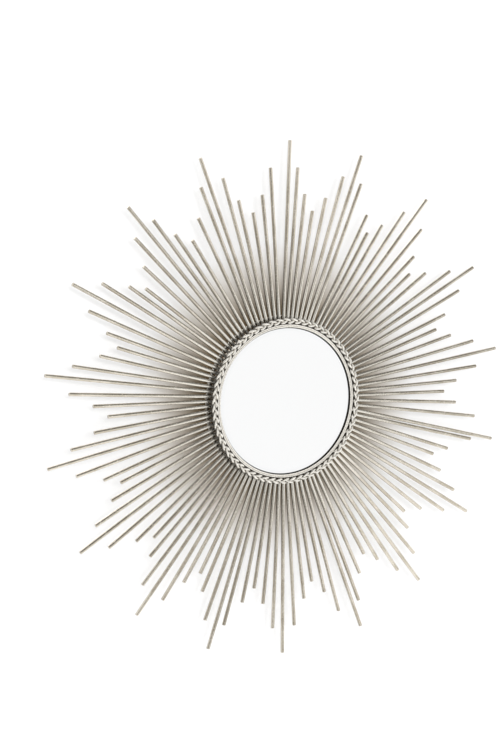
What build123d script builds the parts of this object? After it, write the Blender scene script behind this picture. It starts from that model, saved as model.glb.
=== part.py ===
from build123d import *
import os
from math import asin, cos, radians, sin
from random import Random

# Starburst wall mirror in millimetres: a round glass in a shallow steel drum, a plaited ring
# round its rim, and straight steel rays in four lengths that are welded to the drum.
# Frame: the wall is the plane Y = 0, the glass looks along -Y, +Z is up and +X is to the
# right of somebody who faces the mirror. The origin is the centre of the drum's back face.
# Angles are counter-clockwise from +X, seen from the front.

# Rays
RAY_DIAMETER = 6.35
RAY_TIP_FILLET = 0.8
LONGEST_TIP_RADIUS = 457.2
LONG_TIP_RADIUS = 410.5
MIDDLE_TIP_RADIUS = 365.4
SHORTEST_TIP_RADIUS = 338.2
FANS = 18

# One fan of rays, from its shortest ray round to the last one before the next fan
FAN_TIP_RADII = [
    SHORTEST_TIP_RADIUS,
    MIDDLE_TIP_RADIUS,
    LONG_TIP_RADIUS,
    LONGEST_TIP_RADIUS,
    LONG_TIP_RADIUS,
    MIDDLE_TIP_RADIUS,
]

# How far a ray's tip sits round the circle from its even place, in degrees
TIP_DROOP_DEG = 1.2
TIP_JITTER_DEG = 0.35
JITTER_SEED = 7
# Rays that were knocked well out of line, by their number round the circle
KNOCKED_TIPS_DEG = {
    10: -0.6,
    19: -0.7,
    20: 1.1,
    26: -0.7,
    27: -1.7,
    34: -0.8,
    36: 1.0,
    37: 1.1,
    42: 0.9,
    76: -0.7,
    87: 1.1,
    104: 0.5,
    105: -1.7,
}

# Drum and front bezel
DRUM_OUTER_RADIUS = 136.5
DRUM_WALL = 2.0
HUB_DEPTH = 30.0
BEZEL_THICKNESS = 4.0
BEZEL_WIDTH = 6.0
BEZEL_BEAD_RISE = 0.8
BEZEL_GROOVE_WIDTH = 0.5

# Plaited ring round the drum's front edge, and the plain ring that the rays are welded on
BRAID_WIDTH = 10.8
BRAID_THICKNESS = 8.0
BRAID_PROUD = 3.8
RAY_SETBACK = 12.675
BACK_RING_WIRE_DIAMETER = 6.0
BACK_RING_GAP = 8.5

# Glass and what backs it
GLASS_THICKNESS = 3.0
CUSHION_THICKNESS = 1.5
CUSHION_WIDTH = 12.0
BOARD_THICKNESS = 3.0

# Bent tabs that hold the backing board
TABS = 8
TAB_WIDTH = 12.0
TAB_THICKNESS = 1.0
TAB_REACH = 12.0
TAB_WALL_LEG = 8.0

# Back plate, its lugs and its screws
BACK_PLATE_THICKNESS = 2.5
LUGS = 6
LUG_WIDTH = 12.0
LUG_DEPTH = 6.0
LUG_REACH = 11.0
LUG_TURN_DEG = 22.5
SCREW_DIAMETER = 4.0
SCREW_HEAD_DIAMETER = 7.4
SCREW_LENGTH = 8.0
SCREW_DRIVE_WIDTH = 1.0
SCREW_DRIVE_DEPTH = 0.7

# Two keyhole hangers on the inside of the back plate
KEYHOLE_SPACING = 120.0
KEYHOLE_HEIGHT = 50.0
KEYHOLE_ENTRY_DIAMETER = 10.0
KEYHOLE_SLOT_WIDTH = 4.8
KEYHOLE_TRAVEL = 10.0
HANGER_THICKNESS = 2.0
HANGER_WIDTH = 24.0
HANGER_HEIGHT = 50.0
HANGER_CORNER_RADIUS = 4.0
RIVET_END_DISTANCE = 6.0
RIVET_DIAMETER = 3.0
RIVET_HEAD_DIAMETER = 5.6
RIVET_HEAD_HEIGHT = 1.2

# Clearances
WELD_GAP = 0.3
RING_SEAT = 0.2
BRAID_SEAT = 0.3
GLASS_PLAY = 0.5
WALL_PLAY = 0.2
PLATE_PLAY = 0.3
SCREW_PLAY = 0.1
HEAD_SINK = 0.1

# Places that follow from the sizes above
FRONT_Y = -HUB_DEPTH
GLASS_FRONT_Y = FRONT_Y + BEZEL_THICKNESS
GLASS_BACK_Y = GLASS_FRONT_Y + GLASS_THICKNESS
BOARD_FRONT_Y = GLASS_BACK_Y + CUSHION_THICKNESS
BOARD_BACK_Y = BOARD_FRONT_Y + BOARD_THICKNESS
PLATE_FRONT_Y = -BACK_PLATE_THICKNESS
LUG_FRONT_Y = PLATE_FRONT_Y - LUG_DEPTH
HANGER_FRONT_Y = PLATE_FRONT_Y - HANGER_THICKNESS
DRUM_INNER_RADIUS = DRUM_OUTER_RADIUS - DRUM_WALL
GLASS_RADIUS = DRUM_INNER_RADIUS - GLASS_PLAY
PLATE_RADIUS = DRUM_INNER_RADIUS - PLATE_PLAY
BEZEL_INNER_RADIUS = DRUM_OUTER_RADIUS - BEZEL_WIDTH
BRAID_CENTRE_Y = FRONT_Y - BRAID_PROUD + BRAID_THICKNESS / 2
BRAID_RADIUS = DRUM_OUTER_RADIUS + BRAID_SEAT + BRAID_WIDTH / 2
RAY_RADIUS = RAY_DIAMETER / 2
RAY_Y = FRONT_Y + RAY_SETBACK
RAY_BASE_RADIUS = DRUM_OUTER_RADIUS + WELD_GAP
RAYS_IN_FAN = len(FAN_TIP_RADII)
RAY_PITCH_DEG = 360 / (FANS * RAYS_IN_FAN)
BACK_RING_WIRE_RADIUS = BACK_RING_WIRE_DIAMETER / 2
BACK_RING_RADIUS = DRUM_OUTER_RADIUS + BACK_RING_GAP + BACK_RING_WIRE_RADIUS
BACK_RING_Y = RAY_Y + RAY_RADIUS + RING_SEAT + BACK_RING_WIRE_RADIUS
SCREW_RADIUS = SCREW_DIAMETER / 2
SCREW_HEAD_RADIUS = SCREW_HEAD_DIAMETER / 2
RIVET_RADIUS = RIVET_DIAMETER / 2
RIVET_HEAD_RADIUS = RIVET_HEAD_DIAMETER / 2


def ring_of_section(section):
    """Turns a section, drawn as radius and Y, all the way round the mirror's axis."""
    return revolve(section, Axis.Y)


def flat_ring(outer_radius, inner_radius, front_y, back_y):
    """A ring, or a disc where the inner radius is zero, between two Y planes."""
    width = outer_radius - inner_radius
    depth = back_y - front_y
    centre = (inner_radius + width / 2, front_y + depth / 2)
    return ring_of_section(Pos(*centre) * Rectangle(width, depth))


def at_angle(shape, angle_deg):
    """Turns a shape that was built on the +X side to its own angle round the mirror."""
    return Rot(0, -angle_deg, 0) * shape


def wall_radius_for(width, radius):
    """How far out a flat block of this width can stand inside a round wall of this radius."""
    half_angle = asin(width / 2 / radius)
    return radius * cos(half_angle)


def hole_along_y(radius, front_y, back_y):
    """A round cutter or shank from one Y plane to another, on the Y axis."""
    length = back_y - front_y
    return Pos(0, back_y, 0) * Rot(90, 0, 0) * Cylinder(
        radius, length, align=(Align.CENTER, Align.CENTER, Align.MIN))


def sunk_cone(top_radius, bottom_radius, back_y):
    """A 90 degree countersink on the Y axis, wide at its back plane."""
    depth = top_radius - bottom_radius
    return Pos(0, back_y, 0) * Rot(90, 0, 0) * Cone(
        top_radius, bottom_radius, depth, align=(Align.CENTER, Align.CENTER, Align.MIN))


def ray_drift_deg(number):
    """How far a ray's tip sits round the circle from its even place."""
    jitter = Random(JITTER_SEED * number).uniform(-TIP_JITTER_DEG, TIP_JITTER_DEG)
    own_error = KNOCKED_TIPS_DEG.get(number, jitter)
    return own_error - TIP_DROOP_DEG * cos(radians(number * RAY_PITCH_DEG))


def ray_point(radius, angle_deg):
    """A point in the plane of the rays' centre lines."""
    return Vector(radius * cos(radians(angle_deg)), RAY_Y, radius * sin(radians(angle_deg)))


def ray(number):
    """One straight round bar, from its weld on the drum out to its cut tip."""
    tip_radius = FAN_TIP_RADII[number % RAYS_IN_FAN]
    angle_deg = number * RAY_PITCH_DEG
    base = ray_point(RAY_BASE_RADIUS, angle_deg)
    tip = ray_point(tip_radius, angle_deg + ray_drift_deg(number))
    bar = Cylinder(
        RAY_RADIUS, tip_radius - RAY_BASE_RADIUS, align=(Align.CENTER, Align.CENTER, Align.MIN))
    tip_edge = bar.edges().sort_by(Axis.Z)[-1]
    bar = fillet(tip_edge, RAY_TIP_FILLET)
    return Plane(origin=base, z_dir=tip - base) * bar


def ray_fan(fan):
    """The rays of one fan, each a bar of its own."""
    first = fan * RAYS_IN_FAN
    return Compound(children=[ray(number) for number in range(first, first + RAYS_IN_FAN)])


def front_bezel():
    """The trim ring that covers the glass edge: two low beads with a fine groove between."""
    middle = (BEZEL_INNER_RADIUS + DRUM_OUTER_RADIUS) / 2
    groove_inner = middle - BEZEL_GROOVE_WIDTH / 2
    groove_outer = middle + BEZEL_GROOVE_WIDTH / 2
    low_y = FRONT_Y + BEZEL_BEAD_RISE
    inner_crest = ((BEZEL_INNER_RADIUS + groove_inner) / 2, FRONT_Y)
    outer_crest = ((groove_outer + DRUM_OUTER_RADIUS) / 2, FRONT_Y)
    with BuildSketch() as section:
        with BuildLine():
            Line((DRUM_OUTER_RADIUS, GLASS_FRONT_Y), (BEZEL_INNER_RADIUS, GLASS_FRONT_Y))
            Line((BEZEL_INNER_RADIUS, GLASS_FRONT_Y), (BEZEL_INNER_RADIUS, low_y))
            ThreePointArc((BEZEL_INNER_RADIUS, low_y), inner_crest, (groove_inner, low_y))
            Line((groove_inner, low_y), (groove_outer, low_y))
            ThreePointArc((groove_outer, low_y), outer_crest, (DRUM_OUTER_RADIUS, low_y))
            Line((DRUM_OUTER_RADIUS, low_y), (DRUM_OUTER_RADIUS, GLASS_FRONT_Y))
        make_face()
    return ring_of_section(section.sketch)


def hub_drum():
    """The rolled steel band that everything else is fixed to."""
    return flat_ring(DRUM_OUTER_RADIUS, DRUM_INNER_RADIUS, GLASS_FRONT_Y, 0)


def braid_ring():
    """The outer form of the plaited ring, which is soldered round the bezel's edge."""
    section = Pos(BRAID_RADIUS, BRAID_CENTRE_Y) * Ellipse(BRAID_WIDTH / 2, BRAID_THICKNESS / 2)
    return ring_of_section(section)


def back_ring():
    """The round wire ring behind the rays that each of them is welded on."""
    return ring_of_section(Pos(BACK_RING_RADIUS, BACK_RING_Y) * Circle(BACK_RING_WIRE_RADIUS))


def mirror_glass():
    """The silvered glass, which stands against the back of the bezel."""
    return flat_ring(GLASS_RADIUS, 0, GLASS_FRONT_Y, GLASS_BACK_Y)


def cushion_ring():
    """The foam strip between the glass and its backing board."""
    return flat_ring(GLASS_RADIUS, GLASS_RADIUS - CUSHION_WIDTH, GLASS_BACK_Y, BOARD_FRONT_Y)


def backing_board():
    """The hardboard disc that protects the silvering."""
    return flat_ring(GLASS_RADIUS, 0, BOARD_FRONT_Y, BOARD_BACK_Y)


def retaining_tab():
    """One bent tab: a leg on the drum's wall and a leg over the backing board."""
    outer = wall_radius_for(TAB_WIDTH, DRUM_INNER_RADIUS) - WALL_PLAY
    board_leg_back_y = BOARD_BACK_Y + TAB_THICKNESS
    wall_leg_back_y = BOARD_BACK_Y + TAB_WALL_LEG
    profile = make_face(Polyline(
        (outer, BOARD_BACK_Y),
        (outer, wall_leg_back_y),
        (outer - TAB_THICKNESS, wall_leg_back_y),
        (outer - TAB_THICKNESS, board_leg_back_y),
        (outer - TAB_REACH, board_leg_back_y),
        (outer - TAB_REACH, BOARD_BACK_Y),
        close=True,
    ))
    return extrude(profile, TAB_WIDTH / 2, both=True)


def retaining_tabs():
    """The tabs, evenly spaced round the drum."""
    return Compound(children=[at_angle(retaining_tab(), 360 / TABS * n) for n in range(TABS)])


def lug_outer_face():
    """How far out a plate lug's flat outer face stands inside the drum."""
    return wall_radius_for(LUG_WIDTH, DRUM_INNER_RADIUS) - WALL_PLAY


def lug_angle_deg(index):
    """Lugs are turned a little, so that none lies on a retaining tab."""
    return LUG_TURN_DEG + 360 / LUGS * index


def screw_radius_from_centre():
    """The screws stand in the middle of their lugs."""
    return lug_outer_face() - LUG_REACH / 2


def plate_lug():
    """One block inside the drum with a threaded hole for a back plate screw."""
    outer = lug_outer_face()
    middle = ((outer - LUG_REACH / 2), (LUG_FRONT_Y + PLATE_FRONT_Y) / 2, 0)
    block = Pos(*middle) * Box(LUG_REACH, LUG_DEPTH, LUG_WIDTH)
    hole = hole_along_y(SCREW_RADIUS + SCREW_PLAY, LUG_FRONT_Y, PLATE_FRONT_Y)
    return block - Pos(screw_radius_from_centre(), 0, 0) * hole


def plate_lugs():
    """The lugs round the drum."""
    return Compound(children=[at_angle(plate_lug(), lug_angle_deg(n)) for n in range(LUGS)])


def screw_clearance():
    """The countersunk hole in the back plate for one screw, on the Y axis."""
    hole_radius = SCREW_RADIUS + SCREW_PLAY
    hole = hole_along_y(hole_radius, PLATE_FRONT_Y, 0)
    return hole + sunk_cone(SCREW_HEAD_RADIUS + HEAD_SINK + SCREW_PLAY, hole_radius, 0)


def plate_screw():
    """One slotted countersunk screw, with its head just under the plate's back face."""
    head_y = -HEAD_SINK
    head = sunk_cone(SCREW_HEAD_RADIUS, SCREW_RADIUS, head_y)
    shank = hole_along_y(SCREW_RADIUS, head_y - SCREW_LENGTH, head_y)
    slot = Pos(0, head_y - SCREW_DRIVE_DEPTH / 2, 0) * Box(
        SCREW_HEAD_DIAMETER, SCREW_DRIVE_DEPTH, SCREW_DRIVE_WIDTH)
    return head + shank - slot


def placed_at_lug(shape, index):
    """Moves a shape from the Y axis to the screw place of one lug."""
    return at_angle(Pos(screw_radius_from_centre(), 0, 0) * shape, lug_angle_deg(index))


def plate_screws():
    """One screw for each lug."""
    return Compound(children=[placed_at_lug(plate_screw(), n) for n in range(LUGS)])


def hanger_centres():
    """The centre of each keyhole's entry hole."""
    half = KEYHOLE_SPACING / 2
    return [(-half, KEYHOLE_HEIGHT), (half, KEYHOLE_HEIGHT)]


def keyhole_cut(front_y, back_y):
    """Entry hole on the Y axis, with the slot that runs up from it to the resting place."""
    entry = hole_along_y(KEYHOLE_ENTRY_DIAMETER / 2, front_y, back_y)
    rest = Pos(0, 0, KEYHOLE_TRAVEL) * hole_along_y(KEYHOLE_SLOT_WIDTH / 2, front_y, back_y)
    middle = (0, (front_y + back_y) / 2, KEYHOLE_TRAVEL / 2)
    slot = Pos(*middle) * Box(KEYHOLE_SLOT_WIDTH, back_y - front_y, KEYHOLE_TRAVEL)
    return entry + rest + slot


def rivet_places():
    """Rivet centres from the entry hole: above and below the keyhole, on the plate's middle."""
    middle = KEYHOLE_TRAVEL / 2
    reach = HANGER_HEIGHT / 2 - RIVET_END_DISTANCE
    return [middle - reach, middle + reach]


def rivet_holes(front_y, back_y):
    """Plain holes for a hanger's rivets."""
    hole = hole_along_y(RIVET_RADIUS + SCREW_PLAY, front_y, back_y)
    return [Pos(0, 0, height) * hole for height in rivet_places()]


def hanger_plate():
    """One keyhole hanger about the Y axis."""
    blank = Pos(0, PLATE_FRONT_Y, KEYHOLE_TRAVEL / 2) * Rot(90, 0, 0) * extrude(
        RectangleRounded(HANGER_WIDTH, HANGER_HEIGHT, HANGER_CORNER_RADIUS), HANGER_THICKNESS)
    cuts = rivet_holes(HANGER_FRONT_Y, PLATE_FRONT_Y)
    cuts.append(keyhole_cut(HANGER_FRONT_Y, PLATE_FRONT_Y))
    return blank - cuts


def hanger_plates():
    """Both hangers."""
    return Compound(children=[Pos(x, 0, z) * hanger_plate() for x, z in hanger_centres()])


def hanger_rivet():
    """One rivet on the Y axis: flush at the wall, with a domed head inside."""
    sunk = sunk_cone(RIVET_HEAD_RADIUS, RIVET_RADIUS, -HEAD_SINK)
    shank = hole_along_y(RIVET_RADIUS, HANGER_FRONT_Y, -HEAD_SINK)
    rise = RIVET_HEAD_HEIGHT
    dome_radius = (RIVET_HEAD_RADIUS ** 2 + rise ** 2) / (2 * rise)
    dome = Pos(0, HANGER_FRONT_Y - rise + dome_radius, 0) * Sphere(dome_radius)
    keep = hole_along_y(RIVET_HEAD_RADIUS, HANGER_FRONT_Y - rise, HANGER_FRONT_Y)
    return sunk + shank + (dome & keep)


def hanger_rivets():
    """All the rivets of both hangers."""
    rivets = []
    for x, z in hanger_centres():
        for height in rivet_places():
            rivets.append(Pos(x, 0, z + height) * hanger_rivet())
    return Compound(children=rivets)


def back_plate():
    """The disc that closes the drum and lies on the wall."""
    plate = flat_ring(PLATE_RADIUS, 0, PLATE_FRONT_Y, 0)
    rivet_sink = sunk_cone(
        RIVET_HEAD_RADIUS + HEAD_SINK + SCREW_PLAY, RIVET_RADIUS + SCREW_PLAY, 0)
    cuts = [placed_at_lug(screw_clearance(), n) for n in range(LUGS)]
    for x, z in hanger_centres():
        cuts.append(Pos(x, 0, z) * keyhole_cut(PLATE_FRONT_Y, 0))
        for hole in rivet_holes(PLATE_FRONT_Y, 0):
            cuts.append(Pos(x, 0, z) * hole)
        for height in rivet_places():
            cuts.append(Pos(x, 0, z + height) * rivet_sink)
    return plate - cuts


def all_parts():
    """Every piece under the name of its file."""
    parts = {
        "front_bezel": front_bezel(),
        "hub_drum": hub_drum(),
        "braid_ring": braid_ring(),
        "back_ring": back_ring(),
        "mirror_glass": mirror_glass(),
        "cushion_ring": cushion_ring(),
        "backing_board": backing_board(),
        "retaining_tabs": retaining_tabs(),
        "back_plate": back_plate(),
        "plate_lugs": plate_lugs(),
        "plate_screws": plate_screws(),
        "hanger_plates": hanger_plates(),
        "hanger_rivets": hanger_rivets(),
    }
    for fan in range(FANS):
        parts[f"ray_fan_{fan + 1:02d}"] = ray_fan(fan)
    return parts


os.makedirs("parts", exist_ok=True)
for name, shape in all_parts().items():
    export_step(shape, f"parts/{name}.step")
    print(name, len(shape.solids()), "solids, volume", round(shape.volume, 1))
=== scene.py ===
# %% [markdown]
# # A starburst wall mirror
# The solid model already holds every bar, ring and plate at its real size. This script gives
# them their finishes, weaves the plaited rim, adds the welds, and sets up a pale studio with a
# wall for the mirror to hang on. Lengths are in metres. The wall is the plane Y = 0, the glass
# looks along -Y and +Z is up.

# %% Load the solid model
import math
import random

import bpy
from mathutils import Matrix, Vector


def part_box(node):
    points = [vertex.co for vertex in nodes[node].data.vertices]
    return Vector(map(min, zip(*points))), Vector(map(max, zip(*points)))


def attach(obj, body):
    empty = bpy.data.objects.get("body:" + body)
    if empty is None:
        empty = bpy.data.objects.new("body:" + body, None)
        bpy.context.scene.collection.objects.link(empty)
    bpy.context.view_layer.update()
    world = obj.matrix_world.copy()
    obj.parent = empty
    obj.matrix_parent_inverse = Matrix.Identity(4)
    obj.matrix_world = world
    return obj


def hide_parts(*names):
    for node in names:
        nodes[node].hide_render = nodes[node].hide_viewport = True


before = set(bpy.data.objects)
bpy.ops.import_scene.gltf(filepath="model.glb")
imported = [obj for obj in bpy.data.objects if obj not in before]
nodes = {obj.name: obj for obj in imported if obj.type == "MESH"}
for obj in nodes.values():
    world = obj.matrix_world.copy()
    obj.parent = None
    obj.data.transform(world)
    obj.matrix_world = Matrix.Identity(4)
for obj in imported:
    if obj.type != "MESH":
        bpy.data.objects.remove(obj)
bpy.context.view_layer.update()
bpy.ops.object.select_all(action="DESELECT")

# %% [markdown]
# ## Measures that several steps need
# A node's box gives its size, so nothing here has to be typed in twice. The mirror is round
# about the Y axis, which makes half of a box's width the outer radius of a ring.

# %% Read sizes from the solid model
plait_low, plait_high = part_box("braid_ring")
ring_low, ring_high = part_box("back_ring")
bezel_low, bezel_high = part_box("front_bezel")
fan_low, fan_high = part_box("ray_fan_01")
DRUM_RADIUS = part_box("hub_drum")[1].x
GLASS_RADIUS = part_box("mirror_glass")[1].x

BARS_IN_A_FAN = 6
fans = [name for name in nodes if name.startswith("ray_fan")]
RAYS = len(fans) * BARS_IN_A_FAN
RAY_RADIUS = (fan_high.y - fan_low.y) / 2
RAY_Y = (fan_high.y + fan_low.y) / 2
RING_WIRE_RADIUS = (ring_high.y - ring_low.y) / 2
RING_RADIUS = ring_high.x - RING_WIRE_RADIUS
FRONT_Y = bezel_low.y
print(RAYS, "bars of radius", round(RAY_RADIUS, 5), "on a ring of", round(RING_RADIUS, 4))

# %% [markdown]
# ## The camera
# The photograph was taken from the left of the mirror and a little above it, with a long lens.
# A camera is turned by the three directions of its own axes: right, up and backwards. They are
# worked out from an azimuth, an elevation and a small roll, and become the columns of its
# rotation. The mirror isn't quite in the middle of the picture, so the camera stands a little
# aside of the glass and looks past it, which keeps the angle as it is.

# %% Place the camera
CAMERA_AZIMUTH = math.radians(-27.97)
CAMERA_ELEVATION = math.radians(7.31)
CAMERA_ROLL = math.radians(-0.13)
CAMERA_DISTANCE = 3.512
GLASS_RIGHT_OF_VIEW = 0.0612
GLASS_ABOVE_VIEW = -0.0410
LENS_MM = 94.9


def direction_from(azimuth, elevation):
    """The unit direction from the mirror to something at this azimuth and elevation."""
    level = math.cos(elevation)
    return Vector((math.sin(azimuth) * level, -math.cos(azimuth) * level, math.sin(elevation)))


backward = direction_from(CAMERA_AZIMUTH, CAMERA_ELEVATION)
level_right = Vector((math.cos(CAMERA_AZIMUTH), math.sin(CAMERA_AZIMUTH), 0))
level_up = backward.cross(level_right)
right = level_right * math.cos(CAMERA_ROLL) + level_up * math.sin(CAMERA_ROLL)
up = level_up * math.cos(CAMERA_ROLL) - level_right * math.sin(CAMERA_ROLL)

bpy.ops.object.camera_add()
camera = bpy.context.object
camera.name = "photo_camera"
camera.data.lens = LENS_MM
glass_centre = Vector((0, FRONT_Y, 0))
spot = glass_centre + backward * CAMERA_DISTANCE
spot -= right * GLASS_RIGHT_OF_VIEW + up * GLASS_ABOVE_VIEW
turn = Matrix((right, up, backward)).transposed()
camera.matrix_world = Matrix.Translation(spot) @ turn.to_4x4()
bpy.context.scene.camera = camera
print("camera at", tuple(round(value, 3) for value in spot))

# %% [markdown]
# ## Shader maths as plain expressions
# A finish is a tree of nodes. Written node by node, even a small sum takes many lines. The
# first class wraps one output of a node, so that `1 - mask * 0.4` adds the Math nodes by
# itself. The second is the tree, with one method that adds any other kind of node.

# %% Two helpers for node trees


class Link:
    """One output of a shader node. Arithmetic on it adds Math nodes."""

    def __init__(self, shader, socket):
        self.shader = shader
        self.socket = socket

    def math(self, operation, first, second=0.0):
        """Adds one Math node."""
        return self.shader.node("Math", {0: first, 1: second}, operation=operation)

    def __add__(self, other):
        return self.math("ADD", self, other)

    def __sub__(self, other):
        return self.math("SUBTRACT", self, other)

    def __rsub__(self, other):
        return self.math("SUBTRACT", other, self)

    def __mul__(self, other):
        return self.math("MULTIPLY", self, other)

    def __truediv__(self, other):
        return self.math("DIVIDE", self, other)

    def __abs__(self):
        return self.math("ABSOLUTE", self)

    __radd__ = __add__
    __rmul__ = __mul__


class Shader:
    """A node tree. Its node method adds any node and gives back one output."""

    def __init__(self, owner):
        owner.use_nodes = True
        self.owner = owner
        self.tree = owner.node_tree
        self.tree.nodes.clear()

    def node(self, kind, inputs=None, output=0, **settings):
        """Adds a node: first its settings, then the values or links of its sockets."""
        made = self.tree.nodes.new("ShaderNode" + kind)
        for name, value in settings.items():
            setattr(made, name, value)
        for name, value in (inputs or {}).items():
            if isinstance(value, Link):
                self.tree.links.new(value.socket, made.inputs[name])
            else:
                made.inputs[name].default_value = value
        return Link(self, made.outputs[output]) if made.outputs else None

    def mix(self, factor, first, second):
        """A colour between two others."""
        return self.node("Mix", {0: factor, 6: first, 7: second}, output=2, data_type="RGBA")

    def cover(self, under, over, where, most):
        """One colour laid over another where the mask is 1, with at most this share of it."""
        return self.mix(where * most, under, over)

    def step(self, value, low, high):
        """0 below low, 1 above high, and even in between."""
        return self.node("MapRange", {"Value": value, "From Min": low, "From Max": high})

    def noise(self, place, scale=1.0, detail=2.0, roughness=0.5):
        """Soft cloudy noise from 0 to 1."""
        inputs = {"Vector": place, "Scale": scale, "Detail": detail, "Roughness": roughness}
        return self.node("TexNoise", inputs)

    def vector(self, operation, first, second=(0, 0, 0), output=0):
        """Vector Math, on places and directions."""
        return self.node("VectorMath", {0: first, 1: second}, output=output, operation=operation)

    def bump(self, height, strength, distance):
        """A normal for small unevenness that is too fine to model."""
        inputs = {"Height": height, "Strength": strength, "Distance": distance}
        return self.node("Bump", inputs)

    def surface(self, **inputs):
        """A principled shader on the material's output."""
        named = {name.replace("_", " "): value for name, value in inputs.items()}
        shader = self.node("BsdfPrincipled", named)
        self.node("OutputMaterial", {"Surface": shader})
        return self.owner


def new_shader(name):
    """An empty material under a Shader."""
    return Shader(bpy.data.materials.new(name))


print("helpers ready")

# %% [markdown]
# ## Places measured round the mirror
# Leaf, wash and brush marks follow the bars and rings, so their patterns are laid out by
# distance from the middle and by direction from it. The direction is a unit vector, because an
# angle would jump from +180 to -180 degrees and leave a seam. In the finishes below, a name that
# ends in AT, TO, FROM or BELOW is a distance or a depth, where a band starts or ends.

# %% Radius, depth and direction of a point


def place_of(shader):
    """The point's own place, in metres."""
    return shader.node("TexCoord", output="Object")


def flat_place_of(shader):
    """The point's place without its depth."""
    return shader.vector("MULTIPLY", place_of(shader), (1, 0, 1))


def radius_of(shader):
    """How far the point is from the mirror's axis."""
    return shader.vector("LENGTH", flat_place_of(shader), output="Value")


def depth_of(shader):
    """The point's Y, which is 0 at the wall and falls towards the room."""
    return shader.node("SeparateXYZ", {0: place_of(shader)}, output="Y")


def stretched(shader, cells_round, along):
    """A place for noise: this many cells to a radian round the mirror, and along for the rest."""
    direction = shader.vector("NORMALIZE", flat_place_of(shader))
    turned = shader.vector("MULTIPLY", direction, (cells_round, 0, cells_round))
    return shader.vector("ADD", turned, shader.node("CombineXYZ", {"Y": along}))


CELLS_PER_BAR = RAYS / (2 * math.pi)
print("one noise cell per bar at", round(CELLS_PER_BAR, 1), "cells a radian")

# %% [markdown]
# ## Champagne leaf on the bars
# The bars are steel rods under a thin champagne silver leaf with a brown wash over it. Leaf goes
# on in short lengths, so its tone changes along a bar in patches. The wash is wiped off the front
# of a bar and left on the flanks, which also carry painted shade, heaviest by the drum, and a
# near-black painted shade where the bars crowd together there. Near the drum the bars are painted
# pale cream as well, a painted highlight. Fine lines along each bar are left by drawing the steel.
# Depth across a bar tells its front from its flank, so no bar needs a pattern of its own.

# %% The bars' finish
LEAF_LIGHT = (0.87, 0.81, 0.70, 1)
LEAF_DARK = (0.66, 0.60, 0.495, 1)
CREAM_RUB_AND_HIGHLIGHT = (0.98, 0.96, 0.90, 1)
WASH_BROWN = (0.11, 0.082, 0.055, 1)
DEEP_WASH_AND_SHADE = (0.03, 0.022, 0.014, 1)
PATCHES_A_METRE = 22
LINES_TO_A_BAR = 14
LINE_CELLS_ALONG = 60
LINE_CELLS_IN_DEPTH = 900
LIGHT_AND_SHADE_BY_DRUM_FROM = RING_RADIUS + RING_WIRE_RADIUS
LIGHT_AND_SHADE_BY_DRUM_TO = 0.27
CROWDED_TO = 0.18
CLEAR_AT = 0.32
FRONT_TO_SIDE = -0.48
FLANK_FROM_SIDE = -0.02
GAP_SHADE_FROM_SIDE = -0.6
GAP_SHADE_FULL_FROM_SIDE = -0.15
WASH_AND_SHADE_ON_FLANKS = 0.62
MORE_SHADE_BY_DRUM = 0.3
WASH_IN_WORN_SPOTS = 0.12


def give(node_name, finish):
    """Puts one finish on a node of the solid model."""
    slots = nodes[node_name].data.materials
    slots.clear()
    slots.append(finish)


def leaf_on_bars():
    """Side is -1 on a bar's front, 0 on its flanks and 1 on its back."""
    shader = new_shader("champagne_leaf_bars")
    radius = radius_of(shader)
    depth = depth_of(shader)
    side = (depth - RAY_Y) / RAY_RADIUS
    patch_place = stretched(shader, CELLS_PER_BAR, along=radius * PATCHES_A_METRE)
    patch = shader.step(shader.noise(patch_place, detail=3), low=0.44, high=0.56)
    line_cells = CELLS_PER_BAR * LINES_TO_A_BAR
    line_along = radius * LINE_CELLS_ALONG + depth * LINE_CELLS_IN_DEPTH
    drawn = shader.noise(stretched(shader, line_cells, line_along), detail=3, roughness=0.65)
    mottle = shader.noise(place_of(shader), scale=300, detail=3)
    colour = shader.mix(patch * 0.75 + drawn * 0.25, LEAF_DARK, LEAF_LIGHT)

    near_drum = 1 - shader.step(radius, LIGHT_AND_SHADE_BY_DRUM_FROM, LIGHT_AND_SHADE_BY_DRUM_TO)
    # Painted highlight: the bars are painted pale cream near the drum.
    colour = shader.cover(colour, CREAM_RUB_AND_HIGHLIGHT, near_drum, most=0.6)
    flanks = shader.step(side, FRONT_TO_SIDE, FLANK_FROM_SIDE)
    worn = shader.step(mottle, low=0.60, high=0.74)
    # The brown on the flanks is partly wash and partly painted shade; the extra by the drum is
    # painted shade.
    wash_and_shade = flanks * (WASH_AND_SHADE_ON_FLANKS + near_drum * MORE_SHADE_BY_DRUM) + worn * WASH_IN_WORN_SPOTS
    colour = shader.mix(wash_and_shade, colour, WASH_BROWN)
    # Painted shade: near-black on the flanks where the bars crowd together.
    crowded = 1 - shader.step(radius, CROWDED_TO, CLEAR_AT)
    gap_shade = shader.step(side, GAP_SHADE_FROM_SIDE, GAP_SHADE_FULL_FROM_SIDE) * crowded
    colour = shader.cover(colour, DEEP_WASH_AND_SHADE, gap_shade, most=0.9)

    roughness = 0.20 + mottle * 0.12 + flanks * 0.1
    normal = shader.bump(mottle * 0.6 + drawn * 0.4, strength=0.1, distance=0.0003)
    return shader.surface(Base_Color=colour, Roughness=roughness, Metallic=0.95, Normal=normal)


bar_finish = leaf_on_bars()
for fan in fans:
    give(fan, bar_finish)
print("fans of bars finished:", len(fans))
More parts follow.
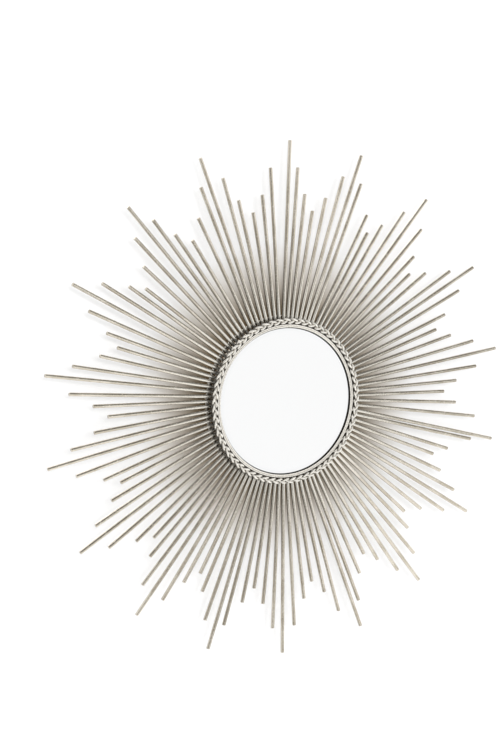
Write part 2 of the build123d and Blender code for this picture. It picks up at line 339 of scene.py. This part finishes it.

# %% [markdown]
# ## The trim ring
# A rolled ring with two low beads and a groove between them covers the edge of the glass. Its
# leaf is paler than the bars'. Its bead crests are painted cream, partly rubbed wear and partly
# painted highlight. A little brown wash sits in the groove, and both edges carry near-black
# painted shade, by the glass and by the plait. Each band is a step in the distance from the
# middle, which keeps it exactly round.

# %% The trim ring's finish
PALE_LEAF = (0.95, 0.92, 0.86, 1)
PALE_LEAF_DARK = (0.82, 0.77, 0.68, 1)
BEZEL_WIDTH = 0.006
BEZEL_INSIDE = bezel_high.x - BEZEL_WIDTH
BEZEL_MIDDLE = bezel_high.x - BEZEL_WIDTH / 2
GROOVE_DARK_TO = 0.00025
GROOVE_CLEAN_AT = 0.0008
INNER_SHADE_TO = BEZEL_INSIDE + 0.0001
INNER_SHADE_GONE_AT = BEZEL_INSIDE + 0.0004
OUTER_SHADE_FROM = bezel_high.x - 0.0009
OUTER_SHADE_FULL_AT = bezel_high.x - 0.0004
BEAD_CREST_DEPTH = 0.0005
CLOUDS_A_METRE = 700
BRUSH_LINES_A_METRE = 4000


def leaf_on_trim():
    shader = new_shader("pale_leaf_trim")
    radius = radius_of(shader)
    depth = depth_of(shader)
    cloud_along = radius * CLOUDS_A_METRE + depth * CLOUDS_A_METRE
    cloud_place = stretched(shader, cells_round=60, along=cloud_along)
    cloud = shader.noise(cloud_place, detail=4, roughness=0.6)
    brushed_place = stretched(shader, cells_round=25, along=radius * BRUSH_LINES_A_METRE)
    brushed = shader.noise(brushed_place, detail=2)
    colour = shader.mix(cloud * 0.7 + brushed * 0.3, PALE_LEAF_DARK, PALE_LEAF)

    # Partly rubbed wear and partly painted highlight: the bead crests nearest the room are painted
    # cream.
    crest = 1 - shader.step(depth, FRONT_Y, FRONT_Y + BEAD_CREST_DEPTH)
    colour = shader.cover(colour, CREAM_RUB_AND_HIGHLIGHT, crest, most=0.5)
    groove = 1 - shader.step(abs(radius - BEZEL_MIDDLE), GROOVE_DARK_TO, GROOVE_CLEAN_AT)
    colour = shader.cover(colour, WASH_BROWN, groove, most=0.3)
    # Painted shade: near-black at the inner edge by the glass and the outer edge by the plait.
    inner_shade = 1 - shader.step(radius, INNER_SHADE_TO, INNER_SHADE_GONE_AT)
    outer_shade = shader.step(radius, OUTER_SHADE_FROM, OUTER_SHADE_FULL_AT)
    colour = shader.cover(colour, DEEP_WASH_AND_SHADE, inner_shade + outer_shade, most=0.95)

    roughness = 0.22 + cloud * 0.12 + groove * 0.2
    normal = shader.bump(cloud * 0.5 + brushed * 0.5, strength=0.15, distance=0.0003)
    return shader.surface(Base_Color=colour, Roughness=roughness, Metallic=0.5, Normal=normal)


give("front_bezel", leaf_on_trim())
print("trim ring finished, inside at", round(BEZEL_INSIDE, 4))

# %% [markdown]
# ## Leaf for the plait
# The plaited rim carries the same pale leaf. Its tops are painted cream, partly rubbed wear and
# partly painted highlight. Near-black lies deep between the strands, partly wash and partly
# painted shade, and painted shade darkens the corner next to the trim ring. A strand's top lies
# nearest to the room, so steps in depth are enough to find tops and hollows, wherever the strands
# run.

# %% The plait's finish
TOPS_PALE_TO = plait_low.y + 0.002
GAPS_START_AT = plait_low.y + 0.0024
GAPS_DARK_AT = plait_low.y + 0.0044
CORNER_DARK_TO = DRUM_RADIUS + 0.0024
CORNER_ENDS_AT = DRUM_RADIUS + 0.0038
CORNER_STARTS_BELOW = plait_low.y + 0.0022
CORNER_DARK_BELOW = plait_low.y + 0.0030


def leaf_on_plait():
    shader = new_shader("pale_leaf_plait")
    radius = radius_of(shader)
    depth = depth_of(shader)
    cloud = shader.noise(place_of(shader), scale=260, detail=4, roughness=0.65)
    colour = shader.mix(cloud, PALE_LEAF_DARK, PALE_LEAF)
    # Partly rubbed wear and partly painted highlight: the strands' tops, nearest the room, are
    # painted cream.
    pale_tops = 1 - shader.step(depth, plait_low.y, TOPS_PALE_TO)
    colour = shader.cover(colour, CREAM_RUB_AND_HIGHLIGHT, pale_tops, most=0.8)
    # Partly wash and partly painted shade: near-black deep between the strands.
    deep = shader.step(depth, GAPS_START_AT, GAPS_DARK_AT)
    colour = shader.mix(deep * (0.75 + cloud * 0.25), colour, DEEP_WASH_AND_SHADE)
    # Painted shade: near-black in the corner where the plait meets the trim ring.
    by_trim = 1 - shader.step(radius, CORNER_DARK_TO, CORNER_ENDS_AT)
    corner = by_trim * shader.step(depth, CORNER_STARTS_BELOW, CORNER_DARK_BELOW)
    colour = shader.cover(colour, DEEP_WASH_AND_SHADE, corner, most=0.95)
    roughness = 0.22 + cloud * 0.12 + deep * 0.25
    normal = shader.bump(cloud, strength=0.2, distance=0.0004)
    return shader.surface(Base_Color=colour, Roughness=roughness, Metallic=0.5, Normal=normal)


plait_finish = leaf_on_plait()
print("leaf for the plait ready")

# %% [markdown]
# ## The drum
# The steel band that carries everything shows only as a line behind the plait and between the
# bars' roots. It is dark with brown wash all over, with runs in it from front to back, partly wash
# and partly painted shade for the recess it sits in. The welds get this finish too.

# %% The drum's finish
RUNS_A_METRE = 120


def wash_and_shade_on_hub():
    shader = new_shader("washed_shaded_leaf_hub")
    cloud = shader.noise(place_of(shader), scale=180, detail=4, roughness=0.6)
    runs_place = stretched(shader, cells_round=90, along=depth_of(shader) * RUNS_A_METRE)
    runs = shader.noise(runs_place, detail=2)
    colour = shader.mix(cloud * 0.5 + runs * 0.5, LEAF_DARK, LEAF_LIGHT)
    # Partly wash and partly painted shade: the whole drum is darkened brown, more along the runs.
    wash_and_shade = 0.55 + shader.step(runs, low=0.45, high=0.75) * 0.4
    colour = shader.mix(wash_and_shade, colour, WASH_BROWN)
    roughness = 0.34 + cloud * 0.2
    normal = shader.bump(cloud * 0.6 + runs * 0.4, strength=0.2, distance=0.0004)
    return shader.surface(Base_Color=colour, Roughness=roughness, Metallic=0.9, Normal=normal)


hub_finish = wash_and_shade_on_hub()
give("hub_drum", hub_finish)
print("drum finished")

# %% [markdown]
# ## The ring behind the bars
# A plain wire ring holds the bars together from behind. Between their roots it shows as a row of
# bright dots. So it has the pale leaf too, a little smoother than on the plait, with faint
# stains only.

# %% The back ring's finish
DRAWN_LINES_A_METRE = 1500


def leaf_on_ring():
    shader = new_shader("pale_leaf_ring")
    cloud = shader.noise(place_of(shader), scale=220, detail=4, roughness=0.6)
    radius = radius_of(shader)
    depth = depth_of(shader)
    drawn_along = radius * DRAWN_LINES_A_METRE + depth * DRAWN_LINES_A_METRE
    drawn = shader.noise(stretched(shader, cells_round=30, along=drawn_along), detail=2)
    colour = shader.mix(cloud * 0.6 + drawn * 0.4, PALE_LEAF_DARK, PALE_LEAF)
    stains = shader.step(cloud, low=0.56, high=0.7)
    colour = shader.cover(colour, WASH_BROWN, stains, most=0.2)
    roughness = 0.16 + cloud * 0.12
    normal = shader.bump(cloud * 0.5 + drawn * 0.5, strength=0.15, distance=0.0003)
    return shader.surface(Base_Color=colour, Roughness=roughness, Metallic=0.4, Normal=normal)


give("back_ring", leaf_on_ring())
print("back ring finished")

# %% [markdown]
# ## The silvered glass
# Silver behind glass is a polished metal to the eye, so the finish is metal with hardly any
# roughness. Old silvering isn't quite even: it greys a little towards the rim, and the face
# carries faint wiping marks that only show as a change of gloss. A thin black line of painted
# shade runs along the trim ring, where the ring's lip overhangs the glass, and the cut edge of the
# glass is green.

# %% The mirror's finish
SILVER = (0.985, 0.988, 0.988, 1)
SILVER_AT_RIM = (0.90, 0.91, 0.92, 1)
GREYS_FROM = GLASS_RADIUS - 0.012
SPECK_SPREAD = 0.004
RIM_SHADE_BLACK = (0.03, 0.03, 0.03, 1)
RIM_LINE_WIDTH = 0.0018
RIM_LINE_FROM = BEZEL_INSIDE - RIM_LINE_WIDTH
RIM_LINE_BLACK_AT = BEZEL_INSIDE - RIM_LINE_WIDTH * 0.7
GLASS_EDGE_GREEN = (0.30, 0.42, 0.38, 1)
EDGE_FROM = GLASS_RADIUS - 0.0006
EDGE_GREEN_AT = GLASS_RADIUS - 0.0003


def silvered_glass():
    shader = new_shader("silvered_glass")
    radius = radius_of(shader)
    place = place_of(shader)
    smears = shader.noise(place, scale=14, detail=3, roughness=0.6)
    specks = shader.noise(place, scale=300, detail=2)
    greyed = shader.step(radius + specks * SPECK_SPREAD, GREYS_FROM, GLASS_RADIUS)
    colour = shader.cover(SILVER, SILVER_AT_RIM, greyed, most=0.6)
    # Painted shade: a thin black line at the glass's rim, under the trim ring's lip.
    rim_shade = shader.step(radius, RIM_LINE_FROM, RIM_LINE_BLACK_AT)
    colour = shader.mix(rim_shade, colour, RIM_SHADE_BLACK)
    edge = shader.step(radius, EDGE_FROM, EDGE_GREEN_AT)
    colour = shader.mix(edge, colour, GLASS_EDGE_GREEN)
    roughness = 0.012 + shader.step(smears, low=0.5, high=0.8) * 0.03 + edge * 0.3
    return shader.surface(Base_Color=colour, Roughness=roughness, Metallic=1.0)


give("mirror_glass", silvered_glass())
print("glass finished")

# %% [markdown]
# ## Foam and board behind the glass
# They are out of sight on the wall, but the mirror is a thing that gets taken down. A strip of
# foam lies between the glass and its board, and its pits are the cells of a Voronoi pattern. The
# board is pressed brown fibre, which noise gives when it is drawn out along one axis.

# %% Finishes of the foam strip and the board
FOAM_PIT = (0.02, 0.02, 0.022, 1)
FOAM_SKIN = (0.10, 0.10, 0.10, 1)
BOARD_DARK = (0.16, 0.09, 0.045, 1)
BOARD_LIGHT = (0.42, 0.28, 0.16, 1)
PITS_A_METRE = 900.0
FIBRES_A_METRE = (900, 900, 260)


def foam():
    shader = new_shader("foam_strip")
    place = place_of(shader)
    pattern = {"Vector": place, "Scale": PITS_A_METRE}
    cells = shader.node("TexVoronoi", pattern, output="Distance")
    cloud = shader.noise(place, scale=120, detail=3)
    colour = shader.mix(cells * 0.6 + cloud * 0.4, FOAM_PIT, FOAM_SKIN)
    roughness = 0.85 + cloud * 0.1
    normal = shader.bump(cells, strength=0.5, distance=0.0005)
    return shader.surface(Base_Color=colour, Roughness=roughness, Normal=normal)


def hardboard():
    shader = new_shader("hardboard")
    place = place_of(shader)
    fibre_place = shader.vector("MULTIPLY", place, FIBRES_A_METRE)
    fibre = shader.noise(fibre_place, detail=4, roughness=0.7)
    cloud = shader.noise(place, scale=60, detail=3)
    colour = shader.mix(fibre * 0.7 + cloud * 0.3, BOARD_DARK, BOARD_LIGHT)
    roughness = 0.62 + fibre * 0.2
    normal = shader.bump(fibre, strength=0.3, distance=0.0003)
    return shader.surface(Base_Color=colour, Roughness=roughness, Normal=normal)


give("cushion_ring", foam())
give("backing_board", hardboard())
print("foam and board finished")

# %% [markdown]
# ## The back plate and the small steel parts
# The tabs and lugs are brushed steel, and the screws, rivets and hanger plates are plated with
# zinc. One function makes both, because brushing and plating differ in colour and gloss more than
# in pattern. The back plate carries a dull coat of paint with scuffs from handling.

# %% Finishes of the back plate and the small steel parts
STEEL_DARK = (0.34, 0.34, 0.33, 1)
STEEL_LIGHT = (0.60, 0.60, 0.59, 1)
ZINC_DARK = (0.50, 0.51, 0.52, 1)
ZINC_LIGHT = (0.76, 0.76, 0.74, 1)
PAINT_DARK = (0.30, 0.265, 0.21, 1)
PAINT_LIGHT = (0.46, 0.41, 0.335, 1)
SCUFF_PALE = (0.62, 0.59, 0.54, 1)
GRAIN_A_METRE = (300, 2200, 2200)
SCUFFS_A_METRE = (40, 40, 900)


def steel(name, dark, light, least_roughness):
    """Brushed metal between two greys."""
    shader = new_shader(name)
    place = place_of(shader)
    grain = shader.noise(shader.vector("MULTIPLY", place, GRAIN_A_METRE), detail=3)
    cloud = shader.noise(place, scale=240, detail=4, roughness=0.65)
    colour = shader.mix(grain * 0.4 + cloud * 0.6, dark, light)
    roughness = least_roughness + grain * 0.12 + cloud * 0.1
    normal = shader.bump(grain, strength=0.15, distance=0.0002)
    return shader.surface(Base_Color=colour, Roughness=roughness, Metallic=1.0, Normal=normal)


def plate_paint():
    shader = new_shader("plate_paint")
    place = place_of(shader)
    cloud = shader.noise(place, scale=35, detail=5, roughness=0.6)
    peel = shader.noise(place, scale=700, detail=2)
    scuff_place = shader.vector("MULTIPLY", place, SCUFFS_A_METRE)
    scuff_noise = shader.noise(scuff_place, detail=4, roughness=0.7)
    scuffs = shader.step(scuff_noise, low=0.62, high=0.7)
    colour = shader.mix(cloud, PAINT_DARK, PAINT_LIGHT)
    colour = shader.cover(colour, SCUFF_PALE, scuffs, most=0.5)
    roughness = 0.42 + cloud * 0.12 - scuffs * 0.1
    normal = shader.bump(peel, strength=0.2, distance=0.0003)
    return shader.surface(Base_Color=colour, Roughness=roughness, Metallic=0.15, Normal=normal)


bare_steel = steel("brushed_steel", STEEL_DARK, STEEL_LIGHT, least_roughness=0.3)
zinc = steel("zinc_plate", ZINC_DARK, ZINC_LIGHT, least_roughness=0.24)
for name in ("retaining_tabs", "plate_lugs"):
    give(name, bare_steel)
for name in ("plate_screws", "hanger_plates", "hanger_rivets"):
    give(name, zinc)
give("back_plate", plate_paint())
print("back plate and small parts finished")

# %% [markdown]
# ## The plaited rim
# A flat plait of three wires. Each wire swings in and out across the rim once a period, and
# dips behind and rises in front twice a period, which takes it over one neighbour and under
# the other. The three wires follow the same path, a third of a period apart. A curve with a
# round bevel is a wire, so a circle is added as a curve, divided into short runs, and its
# points are moved onto the path before it becomes a mesh. The swing and the dip fill the plain
# ring that the solid model has here, but for a small gap next to the drum.

# %% Weave the three wires
WIRES = 3
PERIODS = 21
WIRE_RADIUS = 0.00185
RUNS_PER_PERIOD = 24
CIRCLE_POINTS = 8
BEVEL_STEPS = 3

PLAIT_SEAT = 0.0003
PLAIT_RADIUS = (plait_high.x + DRUM_RADIUS + PLAIT_SEAT) / 2
PLAIT_Y = (plait_low.y + plait_high.y) / 2
SWING = (plait_high.x - DRUM_RADIUS - PLAIT_SEAT) / 2 - WIRE_RADIUS
DIP = (plait_high.y - plait_low.y) / 2 - WIRE_RADIUS


def wire_point(turn, phase):
    """Where a wire's middle is, at this angle round the mirror."""
    swing = math.cos(PERIODS * turn + phase)
    dip = math.sin(2 * (PERIODS * turn + phase))
    radius = PLAIT_RADIUS + SWING * swing
    return (radius * math.cos(turn), PLAIT_Y + DIP * dip, radius * math.sin(turn))


def weave_wire(number, phase):
    """One wire of the plait, from a circle to a finished mesh."""
    bpy.ops.curve.primitive_nurbs_circle_add(radius=PLAIT_RADIUS)
    wire = bpy.context.object
    wire.name = "plait_wire_" + str(number)
    bpy.ops.object.mode_set(mode="EDIT")
    bpy.ops.curve.select_all(action="SELECT")
    bpy.ops.curve.subdivide(number_cuts=PERIODS * RUNS_PER_PERIOD // CIRCLE_POINTS - 1)
    bpy.ops.curve.spline_type_set(type="POLY")
    bpy.ops.object.mode_set(mode="OBJECT")
    points = wire.data.splines[0].points
    for index, point in enumerate(points):
        turn = 2 * math.pi * index / len(points)
        point.co = (*wire_point(turn, phase), 1)
    wire.data.bevel_depth = WIRE_RADIUS
    wire.data.bevel_resolution = BEVEL_STEPS
    bpy.ops.object.convert(target="MESH")
    bpy.ops.object.shade_smooth()
    wire.data.materials.append(plait_finish)
    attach(wire, "root")
    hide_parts("braid_ring")
    bpy.ops.object.select_all(action="DESELECT")
    return wire


wires = [weave_wire(n + 1, 2 * math.pi * n / WIRES) for n in range(WIRES)]
print("plait:", [len(wire.data.polygons) for wire in wires], "faces, swing", round(SWING, 5))

# %% [markdown]
# ## Welds
# Every bar is tacked to the ring behind it and to the drum. A tack weld is a small uneven lump
# of metal, and no two are alike. So each one is an ico sphere of its own, with its points pushed
# about at random from a fixed seed, squashed to size and turned to its bar. The lumps are then
# joined into one piece.

# %% Tack the bars to the back ring and to the drum
WELD_SEED = 11
WELD_UNEVEN = 0.16
LUMP_LEVELS = 2
RING_WELD_SIZE = (0.0026, 0.0014, 0.0043)
DRUM_WELD_SIZE = (0.0012, 0.0033, 0.0041)
chance = random.Random(WELD_SEED)


def lump(size, radius, depth, turn):
    """One weld: its size is along the bar, in depth, and round the mirror."""
    bpy.ops.mesh.primitive_ico_sphere_add(subdivisions=LUMP_LEVELS, radius=1)
    weld = bpy.context.object
    for vertex in weld.data.vertices:
        vertex.co *= 1 + chance.uniform(-WELD_UNEVEN, WELD_UNEVEN)
    shape = Matrix.Diagonal((*size, 1))
    place = Matrix.Translation((radius, depth, 0))
    weld.data.transform(Matrix.Rotation(-turn, 4, "Y") @ place @ shape)
    return weld


def tack_all(name, size, radius, depth):
    """One weld at each bar, joined into one piece."""
    lumps = [lump(size, radius, depth, 2 * math.pi * n / RAYS) for n in range(RAYS)]
    for weld in lumps:
        weld.select_set(True)
    bpy.context.view_layer.objects.active = lumps[0]
    bpy.ops.object.join()
    joined = bpy.context.object
    joined.name = name
    bpy.ops.object.shade_smooth()
    joined.data.materials.append(hub_finish)
    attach(joined, "root")
    bpy.ops.object.select_all(action="DESELECT")
    return joined


bars_back_y = RAY_Y + RAY_RADIUS
drum_weld_radius = DRUM_RADIUS + DRUM_WELD_SIZE[0]
ring_welds = tack_all("ring_welds", RING_WELD_SIZE, RING_RADIUS, bars_back_y)
drum_welds = tack_all("drum_welds", DRUM_WELD_SIZE, drum_weld_radius, RAY_Y)
print("welds:", len(ring_welds.data.polygons), "and", len(drum_welds.data.polygons), "faces")

# %% [markdown]
# ## The studio
# A white wall stands just behind the mirror and takes the soft shadows of the bars. A share of
# glow keeps it white for the camera and in reflections. By the bars' roots the glow fades out and
# the wall is painted brown: painted shade, for the light that so many bars keep off it and the
# colour they give what is left. The wall is see-through from behind, so that the mirror's back can
# be looked at too, and it lets light from behind pass. A pale floor lies well below.

# %% Wall and floor
WALL_GAP = 0.0006
WALL_SIZE = 9.0
FLOOR_Z = -1.25
FLOOR_REACH = 20.0
WHITE = (1, 1, 1, 1)
WALL_WHITE = (0.95, 0.95, 0.95, 1)
PAINTED_SHADE_BY_ROOTS = (0.30, 0.215, 0.125, 1)
GLOW_SHADE_BY_ROOTS = (0.86, 0.77, 0.62, 1)
WALL_GLOW = 0.5
FLOOR_GLOW = 0.9
GLOW_STARTS_AT = 0.15
GLOW_FULL_AT = 0.25
SHADE_FULL_AT = 0.165
SHADE_ENDS_AT = 0.28


def seen_or_mirrored(shader):
    """1 for a ray from the camera or from a reflection, 0 for light that bounces about."""
    seen = shader.node("LightPath", output="Is Camera Ray")
    mirrored = shader.node("LightPath", output="Is Glossy Ray")
    return seen + mirrored


def white_wall():
    """White paint with painted brown shade and no glow by the bars' roots, and clear from behind."""
    shader = new_shader("wall_white")
    radius = radius_of(shader)
    # Painted shade: the wall's paint and glow turn brown by the bars' roots, and its glow fades out
    # there.
    away = shader.step(radius, SHADE_FULL_AT, SHADE_ENDS_AT)
    paint_colour = shader.mix(away, PAINTED_SHADE_BY_ROOTS, WALL_WHITE)
    paint = shader.node("BsdfDiffuse", {"Color": paint_colour})
    glow_colour = shader.mix(away, GLOW_SHADE_BY_ROOTS, WHITE)
    glow = shader.node("Emission", {"Color": glow_colour, "Strength": 1.0})
    share = shader.step(radius, GLOW_STARTS_AT, GLOW_FULL_AT) * WALL_GLOW
    solid = shader.node("MixShader", {0: seen_or_mirrored(shader) * share, 1: paint, 2: glow})
    clear = shader.node("BsdfTransparent")
    from_behind = shader.node("NewGeometry", output="Backfacing")
    shadow = shader.node("LightPath", output="Is Shadow Ray")
    gone = shader.step(from_behind + shadow, low=0.0, high=1.0)
    both = shader.node("MixShader", {0: gone, 1: solid, 2: clear})
    shader.node("OutputMaterial", {"Surface": both})
    return shader.owner


def white_floor():
    """White paint that is seen as white in the bars and the glass too."""
    shader = new_shader("floor_white")
    paint = shader.node("BsdfDiffuse", {"Color": WALL_WHITE})
    glow = shader.node("Emission", {"Color": WHITE, "Strength": 1.0})
    share = seen_or_mirrored(shader) * FLOOR_GLOW
    solid = shader.node("MixShader", {0: share, 1: paint, 2: glow})
    shader.node("OutputMaterial", {"Surface": solid})
    return shader.owner


def flat_sheet(name, corner, opposite, finish):
    """A plane, stretched to reach between two corners that share one coordinate."""
    bpy.ops.mesh.primitive_plane_add(size=1)
    sheet = bpy.context.object
    sheet.name = name
    low = Vector(corner)
    span = Vector(opposite) - low
    thin = [abs(value) for value in span].index(0)
    first, second = [axis for axis in range(3) if axis != thin]
    for vertex in sheet.data.vertices:
        place = low.copy()
        place[first] += span[first] * (vertex.co.x + 0.5)
        place[second] += span[second] * (vertex.co.y + 0.5)
        vertex.co = place
    sheet.data.materials.append(finish)
    bpy.ops.object.select_all(action="DESELECT")
    return sheet


half = WALL_SIZE / 2
wall = flat_sheet("studio_wall", (-half, WALL_GAP, -half), (half, WALL_GAP, half), white_wall())
floor_low = (-FLOOR_REACH, -FLOOR_REACH, FLOOR_Z)
floor_high = (FLOOR_REACH, half, FLOOR_Z)
floor = flat_sheet("studio_floor", floor_low, floor_high, white_floor())
print("the wall faces", tuple(wall.data.polygons[0].normal))
print("the floor faces", tuple(floor.data.polygons[0].normal))

# %% [markdown]
# ## Grey cards
# Polished metal shows the room. In a white room it would look like flat paint, so a photographer
# hangs grey cards out of sight of the camera. The one overhead gives every bar a dark upper edge,
# and the one on the left gives the upright bars a dark left side. The one near the camera and two
# low ones grey the fronts and the lower edges. They only show in reflections.

# %% Five grey cards
CARD_WARMTH = 0.97
CARDS = {
    "card_overhead": ((-2.0, -5.0, 1.5), (4.0, -0.1, 1.5), 0.16),
    "card_left": ((-2.4, -3.4, -0.9), (-2.4, -0.1, 0.6), 0.28),
    "card_by_camera": ((-2.4, -3.4, -1.15), (0.7, -3.4, 0.9), 0.36),
    "card_low_right": ((1.1, -3.5, -1.22), (3.0, -0.1, -1.22), 0.38),
    "card_low_left": ((-2.4, -3.0, -1.2), (-0.4, -0.1, -1.2), 0.3),
}


def grey_card(name, corner, opposite, grey):
    """A card that only reflections see, from its name, two opposite corners and its grey."""
    shader = new_shader(name)
    colour = (grey, grey, grey * CARD_WARMTH, 1)
    light = shader.node("Emission", {"Color": colour, "Strength": 1.0})
    shader.node("OutputMaterial", {"Surface": light})
    card = flat_sheet(name, corner, opposite, shader.owner)
    card.visible_camera = False
    card.visible_diffuse = False
    card.visible_shadow = False
    card.visible_transmission = False
    return card


cards = [grey_card(name, *row) for name, row in CARDS.items()]
print("cards hung:", len(cards))

# %% [markdown]
# ## Light
# The main light is a soft lamp in front, a little to the right and above, which throws the bars'
# soft shadows to the left. A second lamp, higher up, throws a closer shadow under each bar, and a
# weak wide one fills in from low on the right. These three don't show in reflections. The fourth
# stands behind the wall and lights the mirror's back. The sky is white to the camera and in
# reflections, and dimmer as a light.

# %% Four lamps and the sky
SKY_LIGHT = 0.74


def area_lamp(name, azimuth, elevation, distance, size, power):
    """A rectangular soft lamp that faces the mirror. Its angles are in degrees."""
    toward = direction_from(math.radians(azimuth), math.radians(elevation))
    bpy.ops.object.light_add(type="AREA", location=toward * distance)
    lamp = bpy.context.object
    lamp.name = name
    lamp.data.shape = "RECTANGLE"
    lamp.data.size = size[0]
    lamp.data.size_y = size[1]
    lamp.data.energy = power
    lamp.rotation_euler = toward.to_track_quat("Z", "Y").to_euler()
    return lamp


key = area_lamp("key_lamp", azimuth=17, elevation=14, distance=3.6, size=(0.9, 0.9), power=28)
second = area_lamp("second_lamp", azimuth=-14, elevation=25, distance=3.6, size=(0.8, 0.8), power=24)
fill = area_lamp("fill_lamp", azimuth=48, elevation=-24, distance=3.0, size=(2.2, 1.8), power=10)
for lamp in (key, second, fill):
    lamp.visible_glossy = False
area_lamp("back_lamp", azimuth=188, elevation=38, distance=3.5, size=(1.5, 1.5), power=110)

sky = Shader(bpy.data.worlds.new("studio_sky"))
camera_ray = sky.node("LightPath", output="Is Camera Ray")
glossy_ray = sky.node("LightPath", output="Is Glossy Ray")
through_ray = sky.node("LightPath", output="Is Transmission Ray")
shown = sky.step(camera_ray + glossy_ray + through_ray, low=0.0, high=1.0)
white_sky = sky.node("Background", {"Color": WHITE, "Strength": 1.0})
dim_sky = sky.node("Background", {"Color": WHITE, "Strength": SKY_LIGHT})
sky.node("OutputWorld", {"Surface": sky.node("MixShader", {0: shown, 1: dim_sky, 2: white_sky})})
bpy.context.scene.world = sky.owner
bpy.context.scene.view_settings.view_transform = "Standard"
print("studio lit")
